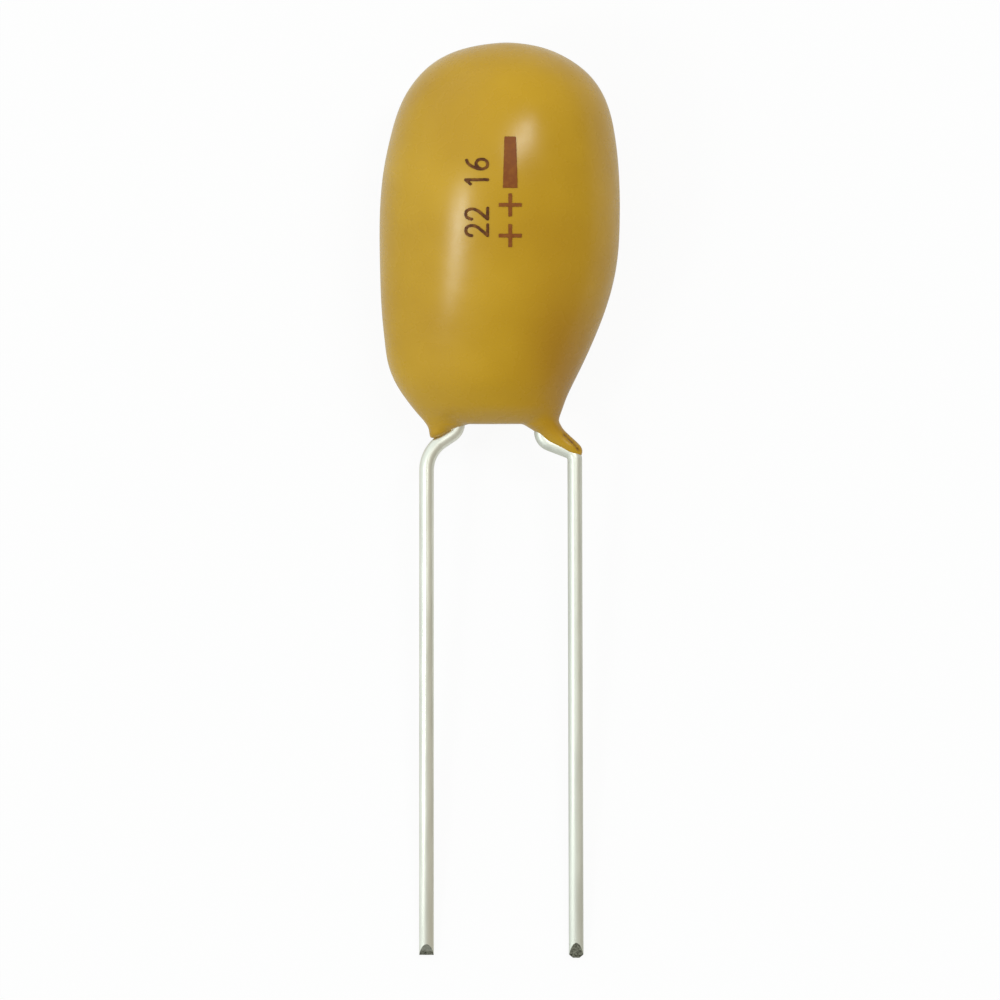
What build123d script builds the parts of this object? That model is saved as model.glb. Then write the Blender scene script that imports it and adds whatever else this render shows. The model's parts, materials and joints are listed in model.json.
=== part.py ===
"""Dipped tantalum capacitor: a sintered pellet and two kinked leads inside an epoxy bead.

Millimetres. The pieces are built with the bead upright: the leads run down -Z, the bead's
underside lies at Z = 0 and the printed side faces -Y. At the end they are laid on the back,
printed side up, the way the part comes to rest on a table: on the bead and the two lead tips.
"""
from build123d import *
from math import cos, radians, sin, tan
import os

# --- driving dimensions -----------------------------------------------------------------------
pellet_diameter = 5.3       # sintered tantalum anode
pellet_length = 7.2
pellet_edge = 0.35          # bevel of its pressed edges
graphite_thickness = 0.03   # dipped cups round the pellet, open at the riser's end
graphite_margin = 0.35      # pellet wall left bare above its floor
silver_thickness = 0.04
silver_margin = 0.70

riser_diameter = 0.40       # tantalum wire pressed into the pellet
riser_reach = 2.15          # length that stands out of the pellet's floor
riser_depth = 5.0           # length inside the pellet
washer_diameter = 2.2       # PTFE ring on the riser, against the pellet
washer_thickness = 0.30
washer_gap = 0.30           # from the washer to the end of the anode lead

wire_diameter = 0.50        # tinned lead wire
cathode_length = 18.1       # from the bead's underside to the tip
anode_length = 18.2
lead_pitch = 5.08           # between the legs
exit_pitch = 2.84           # between the wires where they leave the bead
anode_lean = 0.05           # how far the anode leg's tip stands outside its top
cathode_kink_head = 0.25    # how far the upper and the lower corner of each kink
cathode_kink_foot = 0.93    # lie under the bead's underside
anode_kink_head = 0.51
anode_kink_foot = 0.94
cathode_bends = (1.00, 0.50, 0.80, 0.80)   # bend radii, from the leg upwards
anode_bends = (0.32, 0.42, 0.50, 0.45)
weld_sink = 0.05            # how far the riser is pressed into the anode lead

cathode_cut_slope = 27      # side cutters leave a chisel: the lean of its flanks in degrees
cathode_cut_edge = 0.06     # and half the width of its edge
anode_cut_slope = 22
anode_cut_edge = 0.04
anode_corner_slope = 50     # this tip is pinched narrower sideways too
anode_corner_edge = 0.11

solder_length = 4.0         # along the cathode lead
solder_width = 1.5          # across it, round the pellet
solder_cover = 0.15         # over the lead's outer side
solder_gap = 0.05           # between the lead and the silver

coat_wall = 0.88            # epoxy over the front and the back of the silvered pellet
crown = 2.1                 # epoxy above the pellet
neck = 3.7                  # from the bead's underside to the pellet's floor

# Densities in g/cm3, to find how the part lies when it rests.
pellet_density = 7.5
epoxy_density = 1.6
metal_density = 8.4
tilt_limit = 15             # degrees the crown may be raised by
tilt_step = 0.02            # how closely the angle is found

# --- sizes that follow ------------------------------------------------------------------------
pellet_radius = pellet_diameter / 2
layers = graphite_thickness + silver_thickness
silver_radius = pellet_radius + layers
wire_radius = wire_diameter / 2
riser_radius = riser_diameter / 2
bead_depth = 2 * (silver_radius + coat_wall)
bead_width = bead_depth + 2 * wire_diameter
pellet_top = neck + pellet_length
leg_x = lead_pitch / 2
exit_x = exit_pitch / 2
solder_x = silver_radius + solder_gap + wire_radius      # the cathode lead beside the pellet
solder_top = neck + (pellet_length + solder_length) / 2
weld_x = riser_radius + wire_radius - weld_sink          # the anode lead beside the riser


# --- tantalum pellet, riser wire and washer ---------------------------------------------------
with BuildPart() as riser_wire:
    with BuildSketch(Plane.XY.offset(neck - riser_reach)):
        Circle(riser_radius)
    extrude(amount=riser_reach + riser_depth)

with BuildPart() as tantalum_pellet:
    with BuildSketch(Plane.XY.offset(neck)):
        Circle(pellet_radius)
    extrude(amount=pellet_length)
    chamfer(tantalum_pellet.edges().filter_by(GeomType.CIRCLE), pellet_edge)
    add(riser_wire.part, mode=Mode.SUBTRACT)

with BuildPart() as washer:
    with BuildSketch(Plane.XY.offset(neck - washer_thickness)):
        Circle(washer_diameter / 2)
        Circle(riser_radius, mode=Mode.SUBTRACT)
    extrude(amount=washer_thickness)


# --- graphite and silver cups -----------------------------------------------------------------
def dipped_layer(thickness, floor):
    """The pellet's wall, bevel and top grown by a thickness, as a solid that starts at the floor."""
    with BuildPart() as layer:
        with BuildSketch(Plane.XY.offset(floor)):
            Circle(pellet_radius + thickness)
        extrude(amount=pellet_top + thickness - floor)
        chamfer(layer.edges().group_by(Axis.Z)[-1], pellet_edge + thickness * tan(radians(45 / 2)))
    return layer.part


with BuildPart() as graphite_coat:
    add(dipped_layer(graphite_thickness, neck + graphite_margin))
    for core in (tantalum_pellet, riser_wire):
        add(core.part, mode=Mode.SUBTRACT)

with BuildPart() as silver_coat:
    add(dipped_layer(layers, neck + silver_margin))
    for core in (graphite_coat, tantalum_pellet, riser_wire):
        add(core.part, mode=Mode.SUBTRACT)


# --- leads ------------------------------------------------------------------------------------
def cut_face(x, tip, slope, reach, turn):
    """A face of a lead's cut tip: reach from the centre line at the tip, leaning off the
    wire's run by the slope, and turned about the wire from the back."""
    outward = Vector(0, 1, 0).rotate(Axis.Z, turn)
    normal = outward * cos(radians(slope)) - Vector(0, 0, sin(radians(slope)))
    return Plane(origin=Vector(x, 0, tip) + outward * reach, z_dir=normal)


with BuildPart() as cathode_lead:
    with BuildLine() as cathode_run:
        FilletPolyline(
            (-leg_x, 0, -cathode_length),
            (-leg_x, 0, -cathode_kink_foot),
            (-exit_x, 0, -cathode_kink_head),
            (-exit_x, 0, neck * 0.15),
            (-solder_x, 0, neck * 0.80),
            (-solder_x, 0, solder_top + wire_diameter),
            radius=cathode_bends,
        )
    with BuildSketch(Plane(origin=cathode_run.line @ 0, z_dir=cathode_run.line % 0)):
        Circle(wire_radius)
    sweep()
    for turn in (0, 180):
        face = cut_face(-leg_x, -cathode_length, cathode_cut_slope, cathode_cut_edge, turn)
        split(bisect_by=face, keep=Keep.BOTTOM)

with BuildPart() as anode_lead:
    with BuildLine() as anode_run:
        FilletPolyline(
            (leg_x + anode_lean / 2, 0, -anode_length),
            (leg_x - anode_lean / 2, 0, -anode_kink_foot),
            (exit_x, 0, -anode_kink_head),
            (exit_x, 0, neck * 0.18),
            (weld_x, 0, neck * 0.46),
            (weld_x, 0, neck - washer_thickness - washer_gap),
            radius=anode_bends,
        )
    with BuildSketch(Plane(origin=anode_run.line @ 0, z_dir=anode_run.line % 0)):
        Circle(wire_radius)
    sweep()
    tip_x = leg_x + anode_lean / 2
    for turn in (0, 180):
        flank = cut_face(tip_x, -anode_length, anode_cut_slope, anode_cut_edge, turn)
        split(bisect_by=flank, keep=Keep.BOTTOM)
        corner = cut_face(tip_x, -anode_length, anode_corner_slope, anode_corner_edge, turn + 90)
        split(bisect_by=corner, keep=Keep.BOTTOM)
    add(riser_wire.part, mode=Mode.SUBTRACT)

# --- solder along the cathode lead ------------------------------------------------------------
with BuildPart() as solder_joint:
    with BuildSketch(Plane.XY.offset(solder_top - solder_length)):
        with Locations((-silver_radius, 0)):
            Ellipse(solder_gap + wire_diameter + solder_cover, solder_width / 2)
    extrude(amount=solder_length)
    for core in (silver_coat, graphite_coat, tantalum_pellet, cathode_lead):
        add(core.part, mode=Mode.SUBTRACT)

# --- epoxy coat -------------------------------------------------------------------------------
# The bead was dipped, so its level slices are ovals that follow what lies inside: full over the
# cathode lead on the left, drawn in on the right under the pellet. The resin ran towards the
# crown before it set, so the bead is deepest above the pellet's middle.
bead_slices = (
    # level, then left edge and right edge as shares of half the width, depth as a share
    (0.00 * neck, -0.49, 0.32, 0.13),
    (0.02 * neck, -0.60, 0.42, 0.21),
    (0.06 * neck, -0.66, 0.47, 0.29),
    (0.12 * neck, -0.71, 0.50, 0.38),
    (0.22 * neck, -0.78, 0.54, 0.47),
    (0.33 * neck, -0.85, 0.58, 0.55),
    (0.55 * neck, -0.93, 0.67, 0.66),
    (0.77 * neck, -0.965, 0.76, 0.74),
    (1.00 * neck, -0.99, 0.845, 0.81),
    (neck + 0.225 * pellet_length, -1.006, 0.95, 0.895),
    (neck + 0.46 * pellet_length, -1.01, 0.99, 0.965),
    (neck + 0.68 * pellet_length, -0.98, 0.98, 1.00),
    (neck + 0.85 * pellet_length, -0.91, 0.94, 0.97),
    (pellet_top + 0.07 * crown, -0.81, 0.86, 0.87),
    (pellet_top + 0.48 * crown, -0.67, 0.72, 0.72),
    (pellet_top + 0.76 * crown, -0.50, 0.54, 0.53),
    (pellet_top + 0.93 * crown, -0.30, 0.35, 0.33),
    (pellet_top + 0.99 * crown, -0.13, 0.20, 0.16),
    (pellet_top + 1.00 * crown, -0.02, 0.09, 0.05),
)

# Two feet run down the kinks where the resin clung to the wires.
foot_slices = {
    # level as a share of the kink's foot, inner and outer edge as shares of the kink's run
    # from the exit to the leg, depth in wire diameters
    "cathode": (
        (0.64, -0.20, 1.00, 3.2),
        (0.30, -0.22, 1.00, 2.9),
        (0.00, -0.15, 0.94, 2.3),
        (-0.21, 0.18, 0.89, 1.7),
        (-0.44, 0.52, 0.86, 1.0),
        (-0.50, 0.63, 0.83, 0.5),
    ),
    "anode": (
        (0.64, -0.40, 0.30, 3.0),
        (0.30, -0.45, 0.36, 2.8),
        (0.00, -0.52, 0.48, 2.4),
        (-0.13, -0.42, 0.54, 2.1),
        (-0.27, -0.24, 0.63, 1.85),
        (-0.44, -0.08, 0.77, 1.65),
        (-0.64, 0.12, 0.96, 1.5),
        (-0.85, 0.46, 1.13, 1.35),
        (-1.06, 0.74, 1.17, 1.0),
        (-1.19, 0.96, 1.13, 0.4),
    ),
}


def oval(level, start, end, depth):
    """A level slice of the coat: an ellipse between two edges along X."""
    with BuildSketch(Plane.XY.offset(level)) as outline:
        with Locations(((start + end) / 2, 0)):
            Ellipse(abs(end - start) / 2, depth / 2)
    return outline.sketch


def foot(slices, side, kink_foot):
    """The slices of a foot on the lead at that side of the bead, -1 left or 1 right."""
    run = leg_x - exit_x
    return [
        oval(level * kink_foot, side * (exit_x + inner * run), side * (exit_x + outer * run),
             depth * wire_diameter)
        for level, inner, outer, depth in slices
    ]


with BuildPart() as epoxy_coat:
    loft([
        oval(level, left * bead_width / 2, right * bead_width / 2, depth * bead_depth)
        for level, left, right, depth in bead_slices
    ])
    loft(foot(foot_slices["cathode"], -1, cathode_kink_foot))
    loft(foot(foot_slices["anode"], 1, anode_kink_foot))
    for core in (cathode_lead, anode_lead, tantalum_pellet, riser_wire, washer,
                 graphite_coat, silver_coat, solder_joint):
        add(core.part, mode=Mode.SUBTRACT)

# --- lay the part on its back -----------------------------------------------------------------
pieces = {
    "epoxy_coat": (epoxy_coat, epoxy_density),
    "cathode_lead": (cathode_lead, metal_density),
    "anode_lead": (anode_lead, metal_density),
    "tantalum_pellet": (tantalum_pellet, pellet_density),
    "riser_wire": (riser_wire, metal_density),
    "washer": (washer, epoxy_density),
    "graphite_coat": (graphite_coat, epoxy_density),
    "silver_coat": (silver_coat, metal_density),
    "solder_joint": (solder_joint, metal_density),
}
weight = sum(piece.part.volume * density for piece, density in pieces.values())
centre_of_gravity = sum(
    (piece.part.center(CenterOf.MASS) * piece.part.volume * density
     for piece, density in pieces.values()),
    Vector(0, 0, 0),
) / weight
outside = Compound([epoxy_coat.part, cathode_lead.part, anode_lead.part])


def gravity_height(tilt):
    """Height of the centre of gravity over the table, with the crown raised by the tilt."""
    turn = Rot(tilt - 90, 0, 0)
    return (turn * Pos(centre_of_gravity)).position.Z - (turn * outside).bounding_box().min.Z


# At rest the centre of gravity lies as low as it can. The range of tilts that holds the lowest
# place loses a third at a time.
low_tilt, high_tilt = 0, tilt_limit
while high_tilt - low_tilt > tilt_step:
    third = (high_tilt - low_tilt) / 3
    if gravity_height(low_tilt + third) < gravity_height(high_tilt - third):
        high_tilt -= third
    else:
        low_tilt += third
rest_tilt = (low_tilt + high_tilt) / 2
box = (Rot(rest_tilt - 90, 0, 0) * outside).bounding_box()
lying = Pos(-box.center().X, -box.center().Y, -box.min.Z) * Rot(rest_tilt - 90, 0, 0)
print(f"weight {weight:.0f} mg, resting with the crown raised by {rest_tilt:.2f} degrees")

# --- write the pieces -------------------------------------------------------------------------
os.makedirs("parts", exist_ok=True)
for name, (piece, density) in pieces.items():
    piece.part.location = lying
    piece.part.label = name
    export_step(piece.part, f"parts/{name}.step")
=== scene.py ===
"""A dipped tantalum capacitor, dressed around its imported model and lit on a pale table.

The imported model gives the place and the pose: the part lies on its back, printed side up. The
epoxy coat, the two leads and the marking are made here as smooth meshes, and the hidden inner
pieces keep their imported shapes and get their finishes. Pieces are shaped in millimetres in the
part's own axes, with the bead's underside as the origin, and are placed in metres.
"""

import json
import logging
import math
from dataclasses import dataclass
from enum import Enum
from typing import Callable, Sequence

import bmesh
import bpy
import numpy as np
from mathutils import Matrix, Vector

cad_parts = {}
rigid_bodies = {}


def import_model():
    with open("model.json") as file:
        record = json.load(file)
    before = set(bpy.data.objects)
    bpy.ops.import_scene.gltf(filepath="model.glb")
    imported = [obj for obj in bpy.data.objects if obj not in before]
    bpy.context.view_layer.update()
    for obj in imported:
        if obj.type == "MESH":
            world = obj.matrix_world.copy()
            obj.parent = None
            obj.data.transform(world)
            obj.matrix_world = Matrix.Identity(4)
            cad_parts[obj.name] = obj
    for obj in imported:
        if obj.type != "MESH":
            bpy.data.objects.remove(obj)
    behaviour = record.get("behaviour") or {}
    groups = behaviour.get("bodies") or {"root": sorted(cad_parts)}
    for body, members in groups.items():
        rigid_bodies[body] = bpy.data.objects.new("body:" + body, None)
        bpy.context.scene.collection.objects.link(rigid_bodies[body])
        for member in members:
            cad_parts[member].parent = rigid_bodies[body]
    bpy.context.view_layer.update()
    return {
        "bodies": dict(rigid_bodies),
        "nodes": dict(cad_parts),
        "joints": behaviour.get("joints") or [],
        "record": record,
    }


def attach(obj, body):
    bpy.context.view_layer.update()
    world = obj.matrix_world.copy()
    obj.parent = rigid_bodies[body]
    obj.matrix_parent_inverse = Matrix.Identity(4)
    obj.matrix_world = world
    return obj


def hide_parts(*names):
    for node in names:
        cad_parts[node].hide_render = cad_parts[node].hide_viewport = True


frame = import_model()

MM = 0.001
TINY = 1e-9
Array = np.ndarray
Piece = bpy.types.Object
Material = bpy.types.Material
Socket = bpy.types.NodeSocket
Rows = Sequence[tuple[float, ...]]
Pair = tuple[float, float]
Triple = tuple[float, float, float]
Colour = tuple[float, float, float]
Stop = tuple[float, Colour]
Field = Callable[[Array], Array]
FlatField = Callable[[Array, Array], Array]


# --- the part's own axes ---
@dataclass(frozen=True)
class Layout:
    """The part's axes as it lies: across the leads, out of the printed side, along to the crown."""

    origin: Vector
    across: Vector
    out: Vector
    along: Vector

    @classmethod
    def from_frame(cls, packed: dict, bead_length: float) -> "Layout":
        """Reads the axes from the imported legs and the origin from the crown.

        Args:
            bead_length: From the crown to the bead's underside, in millimetres.

        Returns:
            The layout, in metres.
        """
        mounts = {mount["name"]: mount for mount in packed["record"]["mounts"]}
        cathode, anode = mounts["cathode_leg"], mounts["anode_leg"]
        along = -Vector(cathode["axis"]).normalized()
        left, right = Vector(cathode["pos_m"]), Vector(anode["pos_m"])
        across = right - left
        across = (across - along * across.dot(along)).normalized()
        coat = packed["nodes"]["epoxy_coat"].data
        crown = max(vertex.co.dot(along) for vertex in coat.vertices)
        middle = (left + right) / 2
        rise = crown - bead_length * MM - middle.dot(along)
        return cls(middle + along * rise, across, across.cross(along), along)

    def matrix(self) -> Matrix:
        """The matrix from the part's axes in millimetres to the row frame in metres."""
        columns = [axis * MM for axis in (self.across, self.out, self.along)]
        return Matrix.Translation(self.origin) @ Matrix(columns).transposed().to_4x4()

    def direction(self, across: float, out: float, along: float) -> Vector:
        """A unit direction in the row frame from its shares along the part's axes."""
        return (self.across * across + self.out * out + self.along * along).normalized()


# --- curves and implicit surfaces ---
def natural_spline(knots: Array, values: Array, at: Array) -> Array:
    """A natural cubic spline.

    Args:
        knots: Rising parameters of the given values.
        values: One row for each knot.
        at: Parameters to read it at.

    Returns:
        One row for each parameter.
    """
    gaps = np.diff(knots)
    slopes = np.diff(values, axis=0) / gaps[:, None]
    count = len(knots)
    system = np.eye(count)
    right = np.zeros_like(values)
    for i in range(1, count - 1):
        system[i, i - 1: i + 2] = gaps[i - 1], 2 * (gaps[i - 1] + gaps[i]), gaps[i]
        right[i] = 6 * (slopes[i] - slopes[i - 1])
    bend = np.linalg.solve(system, right)
    i = np.clip(np.searchsorted(knots, at) - 1, 0, count - 2)
    gap = gaps[i][:, None]
    low = (knots[i + 1] - at)[:, None]
    high = (at - knots[i])[:, None]
    curve = (bend[i] * low ** 3 + bend[i + 1] * high ** 3) / (6 * gap)
    start, end = (values[knot] / gap - bend[knot] * gap / 6 for knot in (i, i + 1))
    return curve + (start * low + end * high)


def unit(ways: Array) -> Array:
    """These ways, or this one, at a length of 1."""
    return ways / np.linalg.norm(ways, axis=-1, keepdims=True)


def run_along(line: Array) -> Array:
    """How far along a line each of its points lies."""
    return np.concatenate([[0], np.cumsum(np.linalg.norm(np.diff(line, axis=0), axis=1))])


def ripple(first: Array, second: Array, dense: float, sway: float, slow: float) -> Array:
    """Waves from -1 to 1 along the first places, which sway with slower waves along the second."""
    return np.sin(first * dense + sway * np.sin(second * slow))


def smooth_minimum(first: Array, second: Array, reach: float) -> Array:
    """The lower of two fields, with a fillet of about that reach where they cross."""
    share = np.clip(0.5 + 0.5 * (second - first) / reach, 0, 1)
    return second * (1 - share) + first * share - reach * share * (1 - share)


def net_surface(field: Field, axes: Sequence[Array]) -> tuple[Array, Array]:
    """The zero surface of a field as a net of quads, one vertex in each crossed cell.

    Args:
        field: Negative inside, for an array of points.
        axes: The grid's coordinates on each axis.

    Returns:
        The vertices, and the quads as rows of four vertex numbers, facing outwards.
    """
    grid = np.stack(np.meshgrid(*axes, indexing="ij"), axis=-1)
    values = field(grid.reshape(-1, 3)).reshape(grid.shape[:3])
    inside = values < 0
    cells = np.array(values.shape) - 1
    totals = np.zeros((cells.prod(), 3))
    counts = np.zeros(cells.prod())
    rings = []
    for axis in range(3):
        u, v = (axis + 1) % 3, (axis + 2) % 3
        step = np.eye(3, dtype=int)[axis]
        crossed = np.diff(inside, axis=axis)
        here = np.argwhere(crossed)
        within = (here[:, u] > 0) & (here[:, v] > 0) & (here[:, u] < cells[u]) & (here[:, v] < cells[v])
        here = here[within]
        start, end = tuple(here.T), tuple((here + step).T)
        share = values[start] / (values[start] - values[end])
        points = grid[start] + (grid[end] - grid[start]) * share[:, None]
        corners = []
        for back_u, back_v in ((0, 0), (1, 0), (1, 1), (0, 1)):
            cell = here.copy()
            cell[:, u] -= back_u
            cell[:, v] -= back_v
            number = np.ravel_multi_index(tuple(cell.T), tuple(cells))
            np.add.at(totals, number, points)
            np.add.at(counts, number, 1)
            corners.append(number)
        ring = np.stack(corners, axis=1)
        outwards = inside[start]
        rings.append(np.where(outwards[:, None], ring, ring[:, ::-1]))
    quads = np.concatenate(rings)
    used, quads = np.unique(quads, return_inverse=True)
    return totals[used] / counts[used][:, None], quads.reshape(-1, 4)


def settle_on(field: Field, points: Array, quads: Array, rounds: int) -> Array:
    """Evens out a net's quads and brings its points onto the field's zero surface.

    Args:
        field: The field that the net was made from.
        points: The net's vertices.
        quads: The net's faces.
        rounds: How often the points are moved. The last third only brings them to the surface.

    Returns:
        The moved vertices.
    """
    nudge = 0.002
    flattest = 1e-6
    longest_move = 0.1
    evening = 0.5
    edges = np.concatenate([quads[:, (i, (i + 1) % 4)] for i in range(4)])
    degree = np.bincount(edges[:, 0], minlength=len(points))[:, None]
    for count in range(rounds):
        here = field(points)
        slope = np.stack([field(points + nudge * axis) - here for axis in np.eye(3)], axis=1) / nudge
        steepness = np.maximum(np.linalg.norm(slope, axis=1, keepdims=True), flattest)
        normal = slope / steepness
        move = -normal * np.clip(here[:, None] / steepness, -longest_move, longest_move)
        if count < rounds * 2 // 3:
            mean = np.zeros_like(points)
            np.add.at(mean, edges[:, 0], points[edges[:, 1]])
            drift = (mean / degree - points) * evening
            move += drift - normal * (drift * normal).sum(axis=1, keepdims=True)
        points = points + move
    return points


def net_sheet(field: FlatField, across: Array, along: Array) -> tuple[Array, Array]:
    """The inside of a flat field as a net of quads, with its edge on the field's zero line.

    Args:
        field: Negative inside, for arrays of places across and along.
        across: The grid's places across.
        along: The grid's places along.

    Returns:
        The vertices, and the quads as rows of four vertex numbers.
    """
    x, z = np.meshgrid(across, along, indexing="ij")
    value = field(x, z)
    inside = value < 0
    totals = np.zeros((x.shape[0] - 1, x.shape[1] - 1, 2))
    counts = np.zeros(totals.shape[:2])
    for axis, step in ((0, (1, 0)), (1, (0, 1))):
        here = np.argwhere(np.diff(inside, axis=axis))
        start, end = tuple(here.T), tuple((here + step).T)
        share = value[start] / (value[start] - value[end])
        points = np.stack([flat[start] + (flat[end] - flat[start]) * share for flat in (x, z)], axis=1)
        for back in ((0, 0), (1 - step[0], 1 - step[1])):
            cell = tuple((here - back).T)
            np.add.at(totals, cell, points)
            np.add.at(counts, cell, 1)
    centres = np.stack([(flat[:-1, :-1] + flat[1:, 1:]) / 2 for flat in (x, z)], axis=-1)
    edge = counts > 0
    centres[edge] = totals[edge] / counts[edge][:, None]
    nodes = np.argwhere(inside)
    number = np.arange(counts.size).reshape(counts.shape)
    quads = np.stack([
        number[nodes[:, 0] - back_x, nodes[:, 1] - back_z]
        for back_x, back_z in ((1, 1), (1, 0), (0, 0), (0, 1))
    ], axis=1)
    used, quads = np.unique(quads, return_inverse=True)
    return centres.reshape(-1, 2)[used], quads.reshape(-1, 4)


# --- shading ---
class Nodes:
    """A node tree, with short ways to add its nodes."""

    def __init__(self, tree: bpy.types.NodeTree) -> None:
        """Starts from this tree."""
        self.tree = tree

    def feed(self, node: bpy.types.Node, inputs: dict) -> None:
        """Gives a node's inputs their links and constants.

        Args:
            node: The node.
            inputs: By name or number, another node's socket or a constant.
        """
        for key, value in inputs.items():
            if isinstance(value, Socket):
                self.tree.links.new(value, node.inputs[key])
            else:
                node.inputs[key].default_value = value

    def add(self, kind: str, inputs: dict | None = None, **settings: object) -> bpy.types.Node:
        """Adds a node.

        Args:
            kind: The node's type.
            inputs: What its inputs get, as feed() takes it.
            settings: The node's own properties.

        Returns:
            The new node.
        """
        node = self.tree.nodes.new(kind)
        for key, value in settings.items():
            setattr(node, key, value)
        self.feed(node, inputs or {})
        return node

    def operate(self, operation: str, *values: Socket | float) -> Socket:
        """What an operation makes of these values."""
        return self.add("ShaderNodeMath", dict(enumerate(values)), operation=operation).outputs["Value"]

    def ramp(self, source: Socket, stops: Sequence[Stop]) -> Socket:
        """Colours for a value.

        Args:
            source: The value.
            stops: Places from 0 to 1, each with a linear colour.

        Returns:
            The colour's socket.
        """
        node = self.add("ShaderNodeValToRGB", {"Fac": source})
        elements = node.color_ramp.elements
        while len(elements) < len(stops):
            elements.new(0.5)
        for element, (position, colour) in zip(elements, stops):
            element.position = position
            element.color = (*colour, 1)
        return node.outputs["Color"]

    def white_share(self, direct: float, mirrored: float) -> Socket:
        """How much of a plain white a ray meets in place of what lights the part.

        Args:
            direct: The share for the camera's rays and for rays through glass.
            mirrored: The share for rays from a gloss.

        Returns:
            The share's socket.
        """
        seen = self.add("ShaderNodeLightPath").outputs
        straight = self.operate("ADD", seen["Is Camera Ray"], seen["Is Transmission Ray"])
        scaled = self.operate("MULTIPLY", straight, direct)
        return self.operate("MULTIPLY_ADD", seen["Is Glossy Ray"], mirrored, scaled)


class Shader(Nodes):
    """A material's nodes round its Principled shader, with patterns over the object's own places."""

    noise_range: Pair = (0.3, 0.7)

    def __init__(self, name: str) -> None:
        """Starts a material.

        Args:
            name: Its name.
        """
        self.material = bpy.data.materials.new(name)
        self.material.use_nodes = True
        super().__init__(self.material.node_tree)
        self.surface = self.tree.nodes["Principled BSDF"]
        self.place = self.add("ShaderNodeTexCoord").outputs["Object"]

    def noise(self, scale: float, detail: float = 3, roughness: float = 0.5,
              stretch: Triple = (1, 1, 1)) -> Socket:
        """Noise over the object's own places.

        Args:
            scale: Grains in a metre.
            detail: Octaves.
            roughness: Share that each finer octave keeps.
            stretch: How much denser the grains lie along each axis.

        Returns:
            The value's socket.
        """
        mapping = self.add("ShaderNodeMapping", {"Vector": self.place, "Scale": stretch})
        node = self.add("ShaderNodeTexNoise", {
            "Vector": mapping.outputs["Vector"], "Scale": scale, "Detail": detail, "Roughness": roughness,
        })
        return node.outputs["Fac"]

    def span(self, source: Socket, low: float, high: float) -> Socket:
        """Spreads a noise's usual range between two values.

        Args:
            source: The noise.
            low: What its low places get.
            high: What its high places get.

        Returns:
            The spread value's socket.
        """
        start, end = self.noise_range
        node = self.add("ShaderNodeMapRange", {
            "Value": source, "From Min": start, "From Max": end, "To Min": low, "To Max": high,
        })
        return node.outputs["Result"]

    def mix(self, share: Socket, first: Socket, second: Colour) -> Socket:
        """Takes a colour towards another one.

        Args:
            share: How far, from 0 to 1.
            first: The colour to start from.
            second: The linear colour to go to.

        Returns:
            The mixed colour's socket.
        """
        inputs = {"Factor": share, "A": first, "B": (*second, 1)}
        return self.add("ShaderNodeMix", inputs, data_type="RGBA").outputs["Result"]

    def bump(self, height: Socket, distance: float, strength: float, under: Socket | None = None) -> Socket:
        """A bump from a height.

        Args:
            height: From 0 to 1.
            distance: The height that 1 stands for, in metres.
            strength: How much of it shows.
            under: A coarser bump that it lies on.

        Returns:
            The normal's socket.
        """
        node = self.add("ShaderNodeBump", {"Height": height, "Distance": distance, "Strength": strength})
        if under is not None:
            self.feed(node, {"Normal": under})
        return node.outputs["Normal"]

    def finished(self, inputs: dict) -> Material:
        """Gives the surface its inputs, as feed() takes them, and returns the material."""
        self.feed(self.surface, inputs)
        return self.material


@dataclass(frozen=True)
class EpoxyFinish:
    """Dipped ochre epoxy: glossy, a little cloudy, with a faint orange peel, and with painted shade in the
    crease and on a patch of the front.

    Grains are counted in a metre, and heights are in metres.
    """

    dark: Colour = (0.415, 0.226, 0.0040)
    middle: Colour = (0.448, 0.251, 0.0055)
    light: Colour = (0.486, 0.278, 0.0090)
    # painted shade: a darker, browner patch on the front's lower right, where the lighting left the bead
    # too bright
    painted_shade: Colour = (0.350, 0.170, 0.0015)
    # painted shade: the dark line in the crease of the right foot, where the groove is cut
    shaded_crease: Colour = (0.120, 0.040, 0.006)
    speck_share: float = 0.4
    gloss: Pair = (0.25, 0.30)
    mirror: float = 0.36
    cloud_grains: float = 330
    speck_grains: float = 9000
    gloss_grains: float = 1500
    peel_grains: float = 1100
    peel_height: float = 2e-5
    dust_grains: float = 14000
    dust_height: float = 1e-6
    relief: float = 0.35

    def material(self) -> Material:
        """Makes the finish.

        Returns:
            The new material.
        """
        shader = Shader("dipped_epoxy")
        clouds = shader.noise(self.cloud_grains, detail=2, roughness=0.45)
        colour = shader.ramp(clouds, ((0.30, self.dark), (0.5, self.middle), (0.72, self.light)))
        grains = shader.noise(self.speck_grains, detail=2)
        specks = shader.ramp(grains, ((0.18, (self.speck_share,) * 3), (0.26, (0, 0, 0))))
        colour = shader.mix(specks, colour, self.dark)
        # both attributes paint shade into the colour: a darker patch on the front and a dark line in the
        # crease
        for place, shade_colour in (("painted_shade", self.painted_shade), ("shaded_crease", self.shaded_crease)):
            share = shader.add("ShaderNodeAttribute", attribute_name=place).outputs["Fac"]
            colour = shader.mix(share, colour, shade_colour)
        peel = shader.bump(shader.noise(self.peel_grains, detail=1.5), self.peel_height, self.relief)
        dust = shader.noise(self.dust_grains, detail=2)
        return shader.finished({
            "Base Color": colour,
            "Roughness": shader.span(shader.noise(self.gloss_grains), *self.gloss),
            "Normal": shader.bump(dust, self.dust_height, self.relief, peel),
            "IOR": 1.50,
            "Specular IOR Level": self.mirror,
        })


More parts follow.
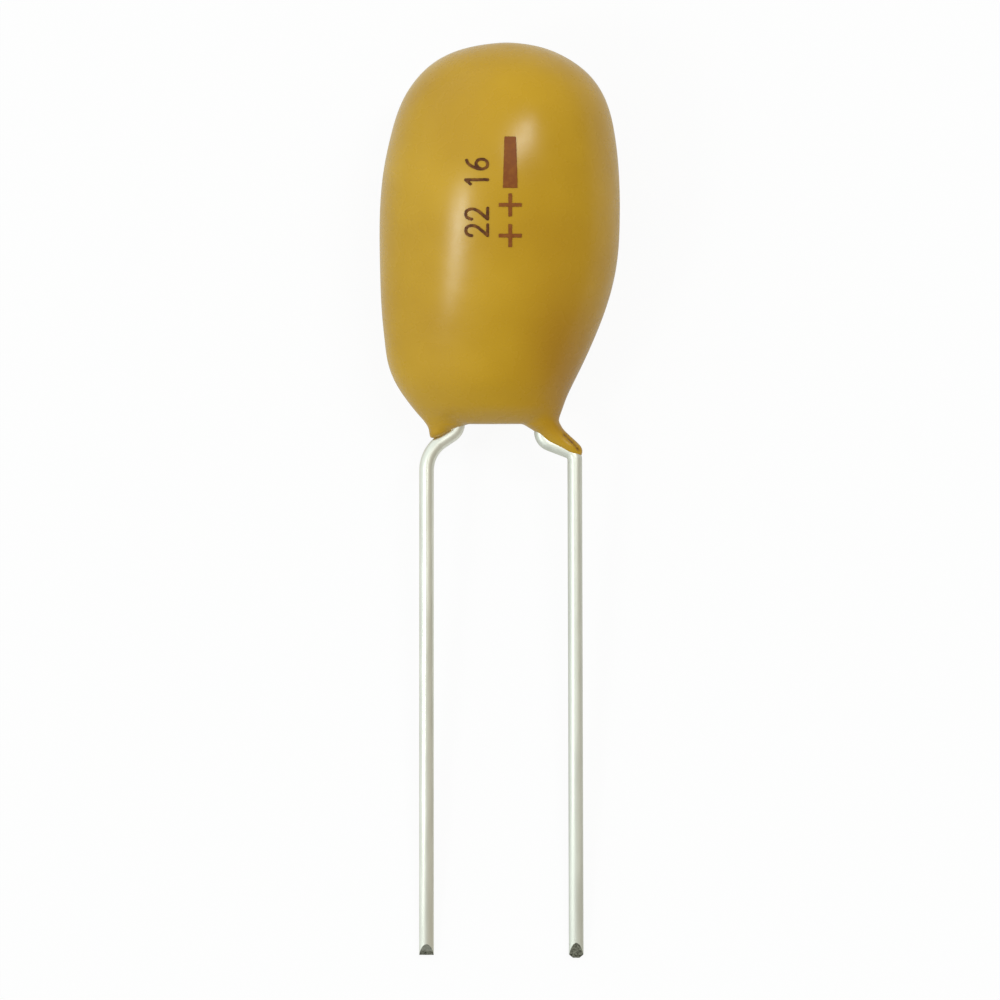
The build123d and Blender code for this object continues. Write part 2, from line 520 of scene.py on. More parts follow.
@dataclass(frozen=True)
class GrainedFinish:
    """A finish whose colour, gloss and relief follow one grain, counted and sized in metres."""

    name: str
    dark: Colour
    light: Colour
    gloss: Pair
    grains: float
    height: float
    stretch: Triple = (1, 1, 1)
    detail: float = 4
    roughness: float = 0.55
    middle: float = 0.5
    contrast: float = 0.15
    relief: float = 0.5
    mirror: float = 0.5
    metallic: float = 0

    def material(self) -> Material:
        """Makes the finish.

        Returns:
            The new material.
        """
        shader = Shader(self.name)
        grain = shader.noise(self.grains, self.detail, self.roughness, self.stretch)
        stops = (self.middle - self.contrast, self.dark), (self.middle + self.contrast, self.light)
        return shader.finished({
            "Base Color": shader.ramp(grain, stops),
            "Roughness": shader.span(grain, *self.gloss),
            "Normal": shader.bump(grain, self.height, self.relief),
            "Specular IOR Level": self.mirror,
            "Metallic": self.metallic,
        })


@dataclass(frozen=True)
class InkFinish(GrainedFinish):
    """Stamped ink, thin enough for the resin to show through where it is light."""

    gloss: Pair = (0.38, 0.52)
    grains: float = 5200
    height: float = 4e-6
    roughness: float = 0.6
    middle: float = 0.57
    relief: float = 0.4
    mirror: float = 0.12


@dataclass(frozen=True)
class MetalFinish(GrainedFinish):
    """A metal with drawn or dipped marks."""

    metallic: float = 1


@dataclass(frozen=True)
class MattFinish(GrainedFinish):
    """A dull dielectric, such as graphite or PTFE."""

    detail: float = 5
    roughness: float = 0.65
    contrast: float = 0.18
    relief: float = 0.6


DRAWN = (1, 0.12, 1)  # the marks run along the wire
TIN = MetalFinish("tin_plating", (0.73, 0.72, 0.63), (0.80, 0.79, 0.70), (0.30, 0.38), 2600, 3e-6, DRAWN)
# the anode's wire: the same tin plating, darker and rougher; its darker colour is painted shade for the
# dimmer right side
SHADED_TIN = MetalFinish(
    "shaded_tin_plating", (0.63, 0.63, 0.56), (0.69, 0.69, 0.615), (0.46, 0.54), 2600, 3e-6, DRAWN)
CUT = MetalFinish("cut_wire", (0.20, 0.205, 0.17), (0.36, 0.365, 0.31), (0.4, 0.6), 9000, 1e-5)
BREAK = MetalFinish("broken_wire", (0.05, 0.05, 0.035), (0.30, 0.30, 0.24), (0.45, 0.65), 16000, 3e-5)
STAMP = InkFinish("stamp_ink", (0.075, 0.022, 0.006), (0.20, 0.075, 0.012))
BAR_INK = InkFinish("bar_ink", (0.192, 0.055, 0.011), (0.24, 0.080, 0.014))
INNER_FINISHES = {
    "tantalum_pellet": MattFinish(
        "sintered_tantalum", (0.03, 0.03, 0.032), (0.08, 0.08, 0.085), (0.75, 0.9), 12000, 2e-5),
    "graphite_coat": MattFinish(
        "graphite_film", (0.012, 0.012, 0.013), (0.03, 0.03, 0.032), (0.5, 0.65), 9000, 6e-6),
    "washer": MattFinish("ptfe", (0.72, 0.72, 0.70), (0.85, 0.85, 0.83), (0.4, 0.5), 5000, 4e-6),
    "silver_coat": MetalFinish(
        "silver_paint", (0.45, 0.45, 0.43), (0.66, 0.66, 0.63), (0.45, 0.6), 8000, 8e-6),
    "riser_wire": MetalFinish(
        "tantalum_wire", (0.20, 0.21, 0.23), (0.32, 0.33, 0.36), (0.3, 0.42), 5000, 4e-6, (1, 0.1, 1)),
    "solder_joint": MetalFinish(
        "solder", (0.42, 0.43, 0.44), (0.60, 0.61, 0.62), (0.25, 0.4), 1500, 3e-5),
}


# --- meshes ---
def new_object(name: str, data: bpy.types.ID) -> Piece:
    """Makes an object and links it to the scene.

    Args:
        name: Its name.
        data: Its mesh, lamp or camera.

    Returns:
        The object.
    """
    item = bpy.data.objects.new(name, data)
    bpy.context.scene.collection.objects.link(item)
    return item


def mesh_object(name: str, points: Array, faces: Sequence[Sequence[int]], layout: Layout) -> Piece:
    """A smooth-shaded mesh in the row frame.

    Args:
        name: The piece's name.
        points: Vertices in the part's axes, in millimetres.
        faces: Rows of vertex numbers.
        layout: The part's axes.

    Returns:
        The new object, linked to the scene.
    """
    mesh = bpy.data.meshes.new(name)
    mesh.from_pydata([tuple(point) for point in points], [], [tuple(face) for face in faces])
    mesh.transform(layout.matrix())
    mesh.update()
    mesh.shade_smooth()
    return new_object(name, mesh)


def ride(piece: Piece, slot: str, *nodes: str) -> None:
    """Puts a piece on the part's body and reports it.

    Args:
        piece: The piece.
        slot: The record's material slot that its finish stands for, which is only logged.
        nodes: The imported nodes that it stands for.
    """
    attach(piece, "root")
    if nodes:
        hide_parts(*nodes)
    count = sum(len(face.vertices) - 2 for face in piece.data.polygons)
    logging.info("%s: %d triangles, finish %s", piece.name, count, slot)


# --- epoxy coat ---
@dataclass(frozen=True)
class Dip:
    """A body of resin that ran to its shape: level ovals, smooth from one to the next.

    Each row gives a level, a left and a right edge and half the depth there, in millimetres from
    the middle of the bead's underside. The first and the last oval have no size, and some rows
    are mirrored beyond them, so that the body closes roundly.
    """

    rows: Rows
    mirrored: int = 3
    samples: int = 4000
    least_rise: float = 1e-7
    least_slope: float = 0.05
    least_stretch: float = 1e-3

    def table(self) -> Array:
        """The body's profile, closely sampled.

        Returns:
            One column each for the level, the middle, half the width squared, and that square's
            share of half the depth squared, from the lowest level to the highest.
        """
        rows = np.array(self.rows)
        sides = np.stack([
            rows[:, 0], (rows[:, 1] + rows[:, 2]) / 2, (rows[:, 2] - rows[:, 1]) / 2, rows[:, 3],
        ], axis=1)
        ghost = sides * (1, 1, -1, -1)
        beyond = self.mirrored + 1
        sides = np.concatenate([ghost[1:beyond][::-1], sides, ghost[-beyond:-1][::-1]])
        knots = run_along(sides[:, (0, 2)])
        first, last = knots[self.mirrored], knots[-1 - self.mirrored]
        at = np.linspace(first, last, self.samples + 2)[1:-1]
        level, middle, width, depth = natural_spline(knots, sides, at).T
        level = np.maximum.accumulate(level) + np.arange(self.samples) * self.least_rise
        return np.stack([level, middle, width ** 2, (width / depth) ** 2], axis=1)

    def field(self) -> Field:
        """The body's field.

        Returns:
            About the distance from its surface, negative inside.
        """
        level, middle, square, ratio = self.table().T
        slopes = [np.gradient(column, level) for column in (middle, square, ratio)]
        ends = level[0], level[-1]

        def distance(points: Array) -> Array:
            """Reads the field from the level oval that each point lies by.

            Args:
                points: Rows of places across, out and along.

            Returns:
                The field at each.
            """
            x, y, z = points.T
            held = np.clip(z, *ends)
            centre, width, shape = (np.interp(held, level, c) for c in (middle, square, ratio))
            centre_slope, width_slope, shape_slope = (np.interp(held, level, s) for s in slopes)
            width = width + width_slope * (z - held)
            off = x - centre
            value = off ** 2 + y ** 2 * shape - width
            rise = -2 * off * centre_slope + y ** 2 * shape_slope - width_slope
            steep = np.sqrt((2 * off) ** 2 + (2 * y * shape) ** 2 + rise ** 2)
            return value / np.maximum(steep, self.least_slope)

        return distance

    def near(self, top: float, pieces: int = 80) -> Field:
        """The distance from the body's lower part, even enough to blend it with another body.

        Args:
            top: The level that the part ends at.
            pieces: How many straight pieces stand for its profile.

        Returns:
            The field, negative inside.
        """
        level, middle, square, ratio = self.table().T
        lower = level < top
        profile = np.stack([np.sqrt(square[lower]), level[lower]], axis=1)
        run = run_along(profile)
        at = np.linspace(0, run[-1], pieces + 1)
        profile = np.stack([np.interp(at, run, column) for column in profile.T], axis=1)
        starts, steps = profile[:-1], np.diff(profile, axis=0)
        squares = (steps ** 2).sum(axis=1)
        batch = 20000

        def distance(points: Array) -> Array:
            """Reads the field from the straight piece of the profile nearest to each point.

            Args:
                points: Rows of places across, out and along.

            Returns:
                The field at each.
            """
            result = np.empty(len(points))
            for first in range(0, len(points), batch):
                x, y, z = points[first: first + batch].T
                held = np.clip(z, level[0], level[-1])
                centre, width, shape = (np.interp(held, level, c) for c in (middle, square, ratio))
                off = x - centre
                radius = np.sqrt(off ** 2 + y ** 2 * shape)
                side = radius[:, None] - starts[:, 0]
                rise = z[:, None] - starts[:, 1]
                share = np.clip((side * steps[:, 0] + rise * steps[:, 1]) / squares, 0, 1)
                side -= share * steps[:, 0]
                gaps = side ** 2 + (rise - share * steps[:, 1]) ** 2
                nearest = gaps.argmin(axis=1)[:, None]
                gap = np.sqrt(np.take_along_axis(gaps, nearest, axis=1)[:, 0])
                slant = np.take_along_axis(side, nearest, axis=1)[:, 0] / np.maximum(gap, TINY)
                stretch = np.sqrt(off ** 2 + (y * shape) ** 2) / np.maximum(radius, TINY)
                gap /= np.sqrt(np.maximum(1 + slant ** 2 * (stretch ** 2 - 1), self.least_stretch))
                inside = (radius ** 2 < width) & (z > level[0])
                result[first: first + batch] = np.where(inside, -gap, gap)
            return result

        return distance

    def front(self, x: Array, z: Array) -> Array:
        """How far out the printed side stands.

        Args:
            x: Places across.
            z: Places along.

        Returns:
            The way out at each place.
        """
        level, middle, square, ratio = self.table().T
        centre, width, shape = (np.interp(z, level, c) for c in (middle, square, ratio))
        return np.sqrt(np.maximum(width - (x - centre) ** 2, 0) / shape)


BEAD_LENGTH = 13.0
HALF_WIDTH = 4.1
HALF_DEPTH = 3.585
BEAD_SHARES = (
    # level in millimetres, then left edge, right edge and depth as shares of the two sizes
    (-0.004, -0.085, -0.085, 0.00),
    (0.000, -0.30, 0.13, 0.07),
    (0.008, -0.49, 0.32, 0.13),
    (0.074, -0.61, 0.43, 0.21),
    (0.222, -0.664, 0.478, 0.29),
    (0.444, -0.713, 0.505, 0.38),
    (0.814, -0.784, 0.537, 0.47),
    (1.221, -0.852, 0.581, 0.55),
    (2.035, -0.937, 0.679, 0.648),
    (2.849, -0.968, 0.769, 0.725),
    (3.700, -0.989, 0.852, 0.793),
    (5.320, -1.006, 0.958, 0.890),
    (7.012, -1.0085, 0.988, 0.964),
    (8.596, -0.978, 0.980, 0.999),
    (9.820, -0.917, 0.948, 0.966),
    (11.047, -0.816, 0.870, 0.87),
    (11.908, -0.672, 0.732, 0.72),
    (12.496, -0.490, 0.54, 0.53),
    (12.853, -0.25, 0.325, 0.33),
    (12.975, -0.05, 0.145, 0.16),
    (12.999, 0.045, 0.045, 0.00),
)
BEAD = Dip(tuple(
    (level, left * HALF_WIDTH, right * HALF_WIDTH, depth * HALF_DEPTH)
    for level, left, right, depth in BEAD_SHARES
))
LEFT_FOOT = Dip((
    (-0.480, -2.260, -2.260, 0.00),
    (-0.465, -2.390, -2.126, 0.125),
    (-0.409, -2.425, -2.002, 0.25),
    (-0.195, -2.462, -1.622, 0.425),
    (0.000, -2.530, -1.252, 0.575),
    (0.279, -2.600, -1.174, 0.725),
    (0.595, -2.600, -1.196, 0.80),
    (0.700, -1.900, -1.900, 0.00),
))
RIGHT_FOOT = Dip((
    (-1.130, 2.630, 2.630, 0.00),
    (-1.110, 2.520, 2.705, 0.11),
    (-1.045, 2.360, 2.755, 0.20),
    (-0.960, 2.190, 2.775, 0.27),
    (-0.799, 1.935, 2.745, 0.338),
    (-0.602, 1.554, 2.575, 0.375),
    (-0.414, 1.330, 2.370, 0.413),
    (-0.254, 1.151, 2.200, 0.463),
    (-0.122, 0.950, 2.090, 0.525),
    (0.000, 0.838, 2.020, 0.60),
    (0.282, 0.916, 1.880, 0.70),
    (0.602, 0.972, 1.800, 0.75),
    (0.700, 1.380, 1.380, 0.00),
))


def finer_between(start: float, end: float, spans: Sequence[Pair], coarse: float, fine: float) -> Array:
    """Grid places with a coarse step that narrows towards some spans.

    Args:
        start: The first place.
        end: The last place, which the grid may pass by a step.
        spans: The starts and ends of the stretches with a fine step.
        coarse: The longest step.
        fine: The step inside the spans.

    Returns:
        The places.
    """
    growth = 0.25
    places = [start]
    while places[-1] < end:
        here = places[-1]
        near = min(max(low - here, here - high, 0) for low, high in spans)
        places.append(here + min(coarse, fine + near * growth))
    return np.array(places)


@dataclass(frozen=True)
class EpoxyCoat:
    """The bead and its two feet as one skin."""

    bead: Dip
    feet: tuple[Dip, ...]
    fillet: float = 0.20
    feet_level: float = 0.55
    grid: tuple[tuple[float, float, Sequence[Pair]], ...] = (
        # start and end across, out and along, and the stretches round the feet with a fine step
        (-4.5, 4.4, ((-2.7, -1.0), (0.7, 3.0))),
        (-3.9, 3.9, ((-0.8, 0.8),)),
        (-1.4, 13.3, ((-1.4, 0.3),)),
    )
    coarse: float = 0.105
    fine: float = 0.045
    settling: int = 9
    # the crease's line, across and along: a shallow groove is cut there, and its dark colour is painted
    # shade
    shaded_crease: Rows = ((2.14, -0.36), (2.34, -0.55), (2.51, -0.72), (2.65, -0.90))
    crease_width: float = 0.035
    crease_depth: float = 0.05
    crease_share: Pair = (0.75, 0.25)
    # where the painted shade patch on the front lies: its middle and reach across and along, and the levels
    # over which it fades in above the foot
    shade_middle: Pair = (2.05, 2.1)
    shade_reach: Pair = (1.25, 3.1)
    shade_end: Pair = (-0.7, -0.2)

    def field(self) -> Field:
        """The whole coat's field.

        Returns:
            About the distance from its surface, negative inside.
        """
        bead = self.bead.field()
        low_bead = self.bead.near(self.feet_level * 2)
        feet = [foot.near(self.feet_level * 2) for foot in self.feet]

        def distance(points: Array) -> Array:
            """Reads the bead's field, with the feet blended in below and the crease cut.

            Args:
                points: Rows of places across, out and along.

            Returns:
                The field at each.
            """
            value = bead(points)
            low = points[:, 2] < self.feet_level
            near = points[low]
            joined = low_bead(near)
            for foot in feet:
                joined = smooth_minimum(joined, foot(near), self.fillet)
            value[low] = joined + self.crease_depth * self.in_crease(near)
            return value

        return distance

    def in_crease(self, points: Array) -> Array:
        """How deep in the crease these points lie, for the groove's depth and for its painted shade.

        Args:
            points: Rows of places across, out and along.

        Returns:
            A share from 0 to 1 for each, uneven along the crease.
        """
        best = np.full(len(points), np.inf)
        line = np.array(self.shaded_crease)
        for start, end in zip(line[:-1], line[1:]):
            run = end - start
            share = np.clip(((points[:, (0, 2)] - start) @ run) / (run @ run), 0, 1)
            gap = np.linalg.norm(points[:, (0, 2)] - start - share[:, None] * run, axis=1)
            best = np.minimum(best, gap)
        share, swing = self.crease_share
        uneven = share + swing * ripple(points[:, 2], points[:, 2], 41, 2, 17)
        return np.exp(-(best / self.crease_width) ** 2) * uneven * (points[:, 1] > 0)

    def in_painted_shade(self, points: Array) -> Array:
        """How far these points lie in a painted shade: a darker, browner patch on the front's lower right.

        Args:
            points: Rows of places across, out and along.

        Returns:
            A share from 0 to 1 for each.
        """
        bottom, top = self.shade_end
        way = (points[:, (0, 2)] - self.shade_middle) / self.shade_reach
        above_foot = np.clip((points[:, 2] - bottom) / (top - bottom), 0, 1)
        return np.exp(-(way ** 2).sum(axis=1)) * above_foot * (points[:, 1] > 0)

    def build(self, layout: Layout) -> Piece:
        """Makes the coat's mesh.

        Args:
            layout: The part's axes.

        Returns:
            The new object, whose attributes say how far each vertex lies in the crease, whose dark colour
            is painted shade, and in the painted shade patch on the front.
        """
        axes = [finer_between(*row, self.coarse, self.fine) for row in self.grid]
        field = self.field()
        points, quads = net_surface(field, axes)
        points = settle_on(field, points, quads, self.settling)
        piece = mesh_object("epoxy_skin", points, quads, layout)
        for name, shares in (("shaded_crease", self.in_crease(points)), ("painted_shade", self.in_painted_shade(points))):
            piece.data.attributes.new(name, "FLOAT", "POINT").data.foreach_set("value", shares)
        return piece

    def dress(self, piece: Piece) -> None:
        """Gives the coat its finish and its place."""
        piece.data.materials.append(EpoxyFinish().material())
        ride(piece, "epoxy", "epoxy_coat")


# --- leads ---
@dataclass(frozen=True)
class TipCut:
    """One face of a cut tip: the side it faces, its way from the wire's line, its lean and slot."""

    turn: float
    reach: float
    slope: float
    slot: int = 1


@dataclass(frozen=True)
class Lead:
    """A round wire along straight runs and tangent bends, with its angles in degrees."""

    name: str
    node: str
    corners: Rows
    bends: tuple[float, ...]
    cuts: tuple[TipCut, ...]
    radius: float = 0.25
    sides: int = 40
    bend_step: float = 6
    fewest_steps: int = 3

    def path(self) -> Array:
        """The wire's line, with its corners bent round.

        Returns:
            Rows of places across and along, from the tip upwards.
        """
        corners = np.array(self.corners)
        line = [corners[0]]
        for before, corner, after, radius in zip(corners, corners[1:], corners[2:], self.bends):
            way_in, way_out = unit(corner - before), unit(after - corner)
            turn = math.acos(float(np.clip(way_in @ way_out, -1, 1)))
            reach = radius * math.tan(turn / 2)
            middle = corner + unit(way_out - way_in) * radius / math.cos(turn / 2)
            start = corner - way_in * reach - middle
            side = 1 if way_in[0] * way_out[1] - way_in[1] * way_out[0] > 0 else -1
            steps = max(self.fewest_steps, math.ceil(math.degrees(turn) / self.bend_step))
            for step in range(steps + 1):
                angle = side * turn * step / steps
                spin = np.array([[math.cos(angle), -math.sin(angle)], [math.sin(angle), math.cos(angle)]])
                line.append(middle + spin @ start)
        line.append(corners[-1])
        return np.array(line)

    def build(self, layout: Layout) -> Piece:
        """Makes the wire's mesh with its cut tip.

        Args:
            layout: The part's axes.

        Returns:
            The new object. Its cut faces have the later material slots.
        """
        line = self.path()
        steps = unit(np.diff(line, axis=0))
        ways = unit(np.concatenate([steps[:1], steps[1:] + steps[:-1], steps[-1:]]))
        around = np.linspace(0, 2 * math.pi, self.sides, endpoint=False)
        ring = np.stack([np.cos(around), np.sin(around)], axis=1) * self.radius
        points = np.array([
            (x + side * way[1], out, z - side * way[0])
            for (x, z), way in zip(line, ways) for side, out in ring
        ])
        faces = []
        for row in range(len(line) - 1):
            for side in range(self.sides):
                beside = (side + 1) % self.sides
                low, high = row * self.sides, (row + 1) * self.sides
                faces.append((low + side, high + side, high + beside, low + beside))
        faces.append(tuple(range(self.sides)))
        faces.append(tuple(reversed(range(len(points) - self.sides, len(points)))))
        piece = mesh_object(self.name, points, faces, layout)
        self.cut(piece, layout)
        return piece

    def cut(self, piece: Piece, layout: Layout) -> None:
        """Cuts the tip's faces.

        Args:
            piece: The wire.
            layout: The part's axes.
        """
        shape = bmesh.new()
        shape.from_mesh(piece.data)
        tip = np.array(self.corners[0])
        place = layout.matrix()
        for cut in self.cuts:
            turn, slope = math.radians(cut.turn), math.radians(cut.slope)
            outwards = Vector((-math.sin(turn), -math.cos(turn), 0))
            normal = outwards * math.cos(slope) + Vector((0, 0, -math.sin(slope)))
            point = Vector((tip[0], 0, tip[1])) + outwards * cut.reach
            placed_normal = place.to_3x3() @ normal
            result = bmesh.ops.bisect_plane(
                shape, geom=[*shape.verts, *shape.edges, *shape.faces], dist=TINY,
                plane_co=place @ point, plane_no=placed_normal.normalized(), clear_outer=True,
            )
            rim = [item for item in result["geom_cut"] if isinstance(item, bmesh.types.BMEdge)]
            filled = bmesh.ops.edgenet_fill(shape, edges=rim)
            for face in filled["faces"]:
                face.material_index = cut.slot
                face.smooth = False
        shape.normal_update()
        bmesh.ops.recalc_face_normals(shape, faces=shape.faces[:])
        shape.to_mesh(piece.data)
        shape.free()

    def dress(self, piece: Piece, finishes: Sequence[Material]) -> None:
        """Gives the wire its finishes and its place.

        Args:
            piece: The wire.
            finishes: What the plating is made of, then the cut faces, then the broken ones.
        """
        for finish in finishes:
            piece.data.materials.append(finish)
        ride(piece, "tinned_wire", self.node)


CATHODE = Lead(
    name="cathode_wire",
    node="cathode_lead",
    corners=((-2.54, -18.1), (-2.54, -0.94), (-1.485, -0.23), (-1.485, 0.555), (-3.02, 2.96),
             (-3.02, 10.8)),
    bends=(1.20, 0.45, 0.80, 0.80),
    cuts=(TipCut(0, 0.06, 27), TipCut(180, 0.06, 27), TipCut(0, 0.0, 41, slot=2),
          TipCut(180, 0.05, 30, slot=2)),
)
ANODE = Lead(
    name="anode_wire",
    node="anode_lead",
    corners=((2.565, -18.2), (2.515, -1.00), (1.38, -0.565), (1.38, 0.666), (0.40, 1.702), (0.40, 3.10)),
    bends=(0.32, 0.42, 0.50, 0.45),
    cuts=(TipCut(0, 0.04, 22, slot=2), TipCut(180, 0.04, 22, slot=2), TipCut(90, 0.11, 50, slot=2),
          TipCut(270, 0.11, 50, slot=2)),
)


# --- marking ---
class Mark(Enum):
    """Each numeral's stroke in a unit box, as points from its lower left corner."""

    TWO = ((0.05, 0.72), (0.09, 0.84), (0.19, 0.93), (0.33, 0.985), (0.48, 1.0), (0.64, 0.985),
           (0.78, 0.935), (0.87, 0.85), (0.905, 0.74), (0.89, 0.63), (0.82, 0.52), (0.70, 0.41),
           (0.52, 0.29), (0.32, 0.17), (0.04, 0.0), (0.96, 0.0))
    ONE = ((0.22, 0.78), (0.58, 1.0), (0.58, 0.0))
    SIX = ((0.84, 0.96), (0.66, 0.92), (0.48, 0.84), (0.32, 0.72), (0.19, 0.57), (0.11, 0.42),
           (0.08, 0.28), (0.12, 0.15), (0.24, 0.05), (0.42, 0.0), (0.60, 0.005), (0.76, 0.05),
           (0.88, 0.14), (0.92, 0.27), (0.89, 0.39), (0.78, 0.48), (0.62, 0.53), (0.46, 0.53),
           (0.30, 0.47), (0.17, 0.38), (0.09, 0.26))


@dataclass(frozen=True)
class Marking:
    """The print: plain numbers beside a polarity bar with two plus signs, read with the crown right."""

    numbers: tuple[Mark | None, ...] = (Mark.TWO, Mark.TWO, None, Mark.ONE, Mark.SIX)
    number_foot: float = -0.45
    number_height: float = 0.74
    number_width: float = 0.40
    number_pitch: float = 0.555
    number_start: float = 6.30
    number_stroke: float = 0.048
    bar_middle: float = 0.31
    bar_ends: Pair = (7.92, 9.65)
    bar_half: Pair = (0.245, 0.195)
    plus_levels: Pair = (6.32, 7.35)
    plus_arm: float = 0.385
    plus_stroke: float = 0.062
    across: Pair = (-1.6, 1.0)
    along: Pair = (5.8, 10.2)
    grid: float = 0.018
    raggedness: float = 0.007
    lift: float = 0.004
    thickness: float = 0.020

    def number_field(self, x: Array, z: Array) -> Array:
        """The numbers' flat field.

        Args:
            x: Places across.
            z: Places along.

        Returns:
            The distance from the numbers' edges, negative inside.
        """
        best = np.full(x.shape, np.inf)
        for place, number in enumerate(self.numbers):
            if number is None:
                continue
            start = self.number_start + place * self.number_pitch
            points = np.array([
                (self.number_foot - up * self.number_height, start + right * self.number_width)
                for right, up in number.value
            ])
            for (sx, sz), (ex, ez) in zip(points[:-1], points[1:]):
                rx, rz = ex - sx, ez - sz
                share = np.clip(((x - sx) * rx + (z - sz) * rz) / (rx * rx + rz * rz), 0, 1)
                gap = np.hypot(x - sx - share * rx, z - sz - share * rz)
                best = np.minimum(best, gap - self.number_stroke)
        return best

    def polarity_field(self, x: Array, z: Array) -> Array:
        """The flat field of the bar and the plus signs.

        Args:
            x: Places across.
            z: Places along.

        Returns:
            The distance from their edges, negative inside.
        """
        low, high = self.bar_ends
        share = np.clip((z - low) / (high - low), 0, 1)
        half = self.bar_half[0] * (1 - share) + self.bar_half[1] * share
        best = np.maximum(np.abs(x - self.bar_middle) - half, np.maximum(low - z, z - high))
        for level in self.plus_levels:
            off_x, off_z = np.abs(x - self.bar_middle), np.abs(z - level)
            upright = np.maximum(off_x - self.plus_stroke, off_z - self.plus_arm)
            level_arm = np.maximum(off_z - self.plus_stroke, off_x - self.plus_arm)
            best = np.minimum(best, np.minimum(upright, level_arm))
        return best

    def build(self, name: str, field: FlatField, bead: Dip, layout: Layout) -> Piece:
        """Lays a thin sheet of ink on the bead's printed side.

        Args:
            name: The piece's name.
            field: The print's flat field.
            bead: The bead that it lies on.
            layout: The part's axes.

        Returns:
            The new object.
        """
        def ragged(x: Array, z: Array) -> Array:
            """The print's field with uneven edges."""
            waves = ripple(x, z, 61, 3, 17) * ripple(z, x, 53, 2, 23)
            return field(x, z) + waves * self.raggedness

        across, along = (np.arange(*ends, self.grid) for ends in (self.across, self.along))
        flat, quads = net_sheet(ragged, across, along)
        out = bead.front(flat[:, 0], flat[:, 1]) + self.lift
        piece = mesh_object(name, np.stack([flat[:, 0], out, flat[:, 1]], axis=1), quads, layout)
        sheet = piece.modifiers.new("thickness", "SOLIDIFY")
        sheet.thickness = self.thickness * MM
        sheet.offset = -1
        return piece

    def dress(self, piece: Piece, ink: Material) -> None:
        """Gives the ink its finish and its place."""
        piece.data.materials.append(ink)
        ride(piece, "epoxy")


# --- studio ---
@dataclass(frozen=True)
class Softbox:
    """An area lamp that the bead mirrors, with its way and distance from the bead's middle."""

    name: str
    way: Triple
    width: float
    height: float
    distance: float
    power: float
    colour: Colour


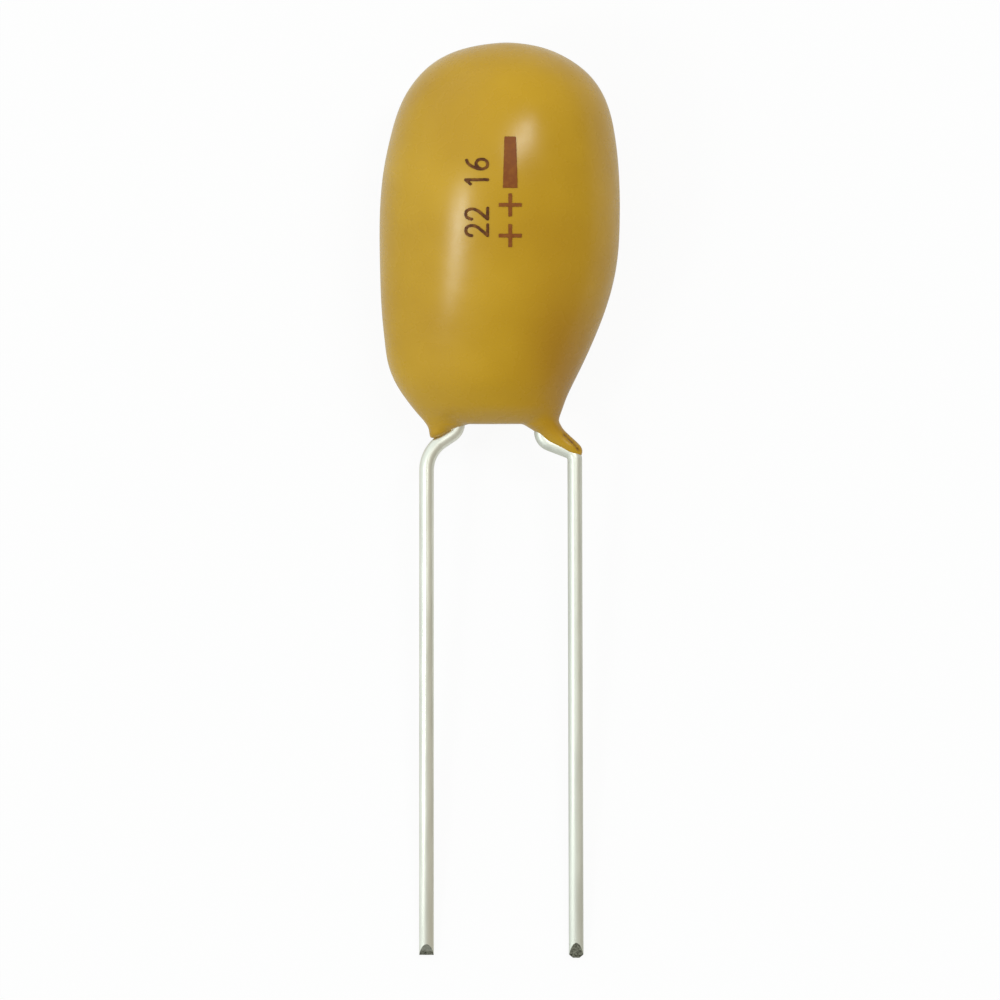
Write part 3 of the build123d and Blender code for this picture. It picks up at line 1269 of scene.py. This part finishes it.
@dataclass(frozen=True)
class Studio:
    """A pale table under soft light, seen from above the printed side.

    The lens, what the frame shows and the aim are in millimetres, and other lengths in metres.
    """

    layout: Layout
    lens: float = 300
    frame_height: float = 34.1
    aim: Pair = (-0.034, -2.591)
    clip: Pair = (0.01, 20)
    table_size: float = 3.0
    table_colour: float = 0.70
    table_grains: float = 90
    table_unevenness: float = 0.005
    table_glow: float = 0.93
    mirrored_glow: float = 0.14
    sky_level: float = 1.11
    crown_side: float = 0.24
    sky_colours: tuple[Stop, ...] = (
        # place from the left horizon to the right one, with a linear colour
        (0.00, (0.85, 0.94, 0.97)),
        (0.25, (0.92, 1.00, 1.00)),
        (0.42, (0.69, 0.72, 0.72)),
        (0.50, (0.55, 0.55, 0.51)),
        (0.75, (0.48, 0.45, 0.38)),
        (0.92, (0.48, 0.46, 0.39)),
        (1.00, (0.32, 0.31, 0.26)),
    )
    boxes: tuple[Softbox, ...] = (
        # name, way, width, height, distance, power, colour
        Softbox("key_box", (-0.545, 0.82, -0.180), 0.046, 0.070, 0.34, 0.235, (0.91, 0.99, 1.0)),
        Softbox("crown_box", (0.29, 0.90, 0.300), 0.06, 0.150, 0.34, 0.39, (0.94, 1.0, 1.0)),
    )

    def table(self) -> None:
        """A plain pale table that runs out of view."""
        shape = bmesh.new()
        bmesh.ops.create_grid(shape, x_segments=8, y_segments=8, size=self.table_size)
        mesh = bpy.data.meshes.new("table")
        shape.to_mesh(mesh)
        shape.free()
        table = new_object("table", mesh)
        shader = Shader("table_white")
        pale = (self.table_colour,) * 3
        darker = (self.table_colour * (1 - self.table_unevenness),) * 3
        colour = shader.ramp(shader.noise(self.table_grains), ((0.3, pale), (0.7, darker)))
        finish = {"Base Color": colour, "Roughness": 0.9, "Specular IOR Level": 0}
        mesh.materials.append(shader.finished(finish))
        blend = shader.add("ShaderNodeMixShader", {
            "Fac": shader.white_share(self.table_glow, self.mirrored_glow),
            1: shader.surface.outputs["BSDF"],
            2: shader.add("ShaderNodeEmission").outputs["Emission"],
        })
        shader.feed(shader.tree.nodes["Material Output"], {"Surface": blend.outputs["Shader"]})

    def sky(self) -> None:
        """A surround that is brighter on the left and towards the crown.

        The camera sees it as plain white, and a gloss mirrors that white at a small share.
        """
        world = bpy.data.worlds.new("surround")
        bpy.context.scene.world = world
        world.use_nodes = True
        nodes = Nodes(world.node_tree)
        nodes.tree.nodes.clear()
        way = nodes.add("ShaderNodeTexCoord").outputs["Generated"]
        sides = nodes.add("ShaderNodeSeparateXYZ", {"Vector": way}).outputs
        side = nodes.add("ShaderNodeMapRange", {"Value": sides["X"], "From Min": -1})
        colour = nodes.ramp(side.outputs["Result"], self.sky_colours)
        share, level = self.crown_side, self.sky_level
        strength = nodes.operate("MULTIPLY_ADD", sides["Y"], share * level, level)
        light = nodes.add("ShaderNodeBackground", {"Color": colour, "Strength": strength})
        white = nodes.add("ShaderNodeBackground", {"Color": (1, 1, 1, 1), "Strength": 1})
        blend = nodes.add("ShaderNodeMixShader", {
            "Fac": nodes.white_share(1.0, self.mirrored_glow),
            1: light.outputs["Background"],
            2: white.outputs["Background"],
        })
        nodes.add("ShaderNodeOutputWorld", {"Surface": blend.outputs["Shader"]})

    def lamps(self) -> None:
        """Hangs the softboxes round the bead."""
        centre = self.layout.matrix() @ Vector((0, 0, BEAD_LENGTH / 2))
        for box in self.boxes:
            data = bpy.data.lights.new(box.name, "AREA")
            data.shape = "RECTANGLE"
            data.size, data.size_y = box.width, box.height
            data.energy = box.power
            data.color = box.colour
            lamp = new_object(box.name, data)
            way = self.layout.direction(*box.way)
            lamp.location = centre + way * box.distance
            lamp.rotation_mode = "QUATERNION"
            lamp.rotation_quaternion = way.to_track_quat("Z", "Y")

    def camera(self) -> None:
        """A long lens square to the printed side."""
        layout = self.layout
        data = bpy.data.cameras.new("camera")
        data.lens = self.lens
        data.clip_start, data.clip_end = self.clip
        distance = self.frame_height * MM * data.lens / data.sensor_width
        aim = layout.matrix() @ Vector((self.aim[0], 0, self.aim[1]))
        turn = Matrix((layout.across, layout.along, layout.out)).transposed().to_4x4()
        camera = new_object("camera", data)
        camera.matrix_world = Matrix.Translation(aim + layout.out * distance) @ turn
        bpy.context.scene.camera = camera

    def build(self) -> None:
        """Sets up the table, the light and the camera."""
        self.table()
        self.sky()
        self.lamps()
        self.camera()
        bpy.context.scene.view_settings.view_transform = "Standard"


def main() -> None:
    """Builds the pieces in order, dresses them and sets up the studio."""
    logging.basicConfig(level=logging.INFO, format="%(message)s")
    layout = Layout.from_frame(frame, BEAD_LENGTH)

    coat = EpoxyCoat(BEAD, (LEFT_FOOT, RIGHT_FOOT))
    coat.dress(coat.build(layout))

    cut, broken = CUT.material(), BREAK.material()
    # the cathode takes the plain tin, the anode the copy with painted shade
    for lead, tin in ((CATHODE, TIN), (ANODE, SHADED_TIN)):
        lead.dress(lead.build(layout), (tin.material(), cut, broken))

    marking = Marking()
    marking.dress(marking.build("numbers", marking.number_field, BEAD, layout), STAMP.material())
    marking.dress(marking.build("polarity_bar", marking.polarity_field, BEAD, layout), BAR_INK.material())

    for node, finish in INNER_FINISHES.items():
        data = frame["nodes"][node].data
        data.materials.clear()
        data.materials.append(finish.material())
        logging.info("%s: packed shape, finish %s", node, finish.name)

    Studio(layout).build()


if __name__ == "__main__":
    main()
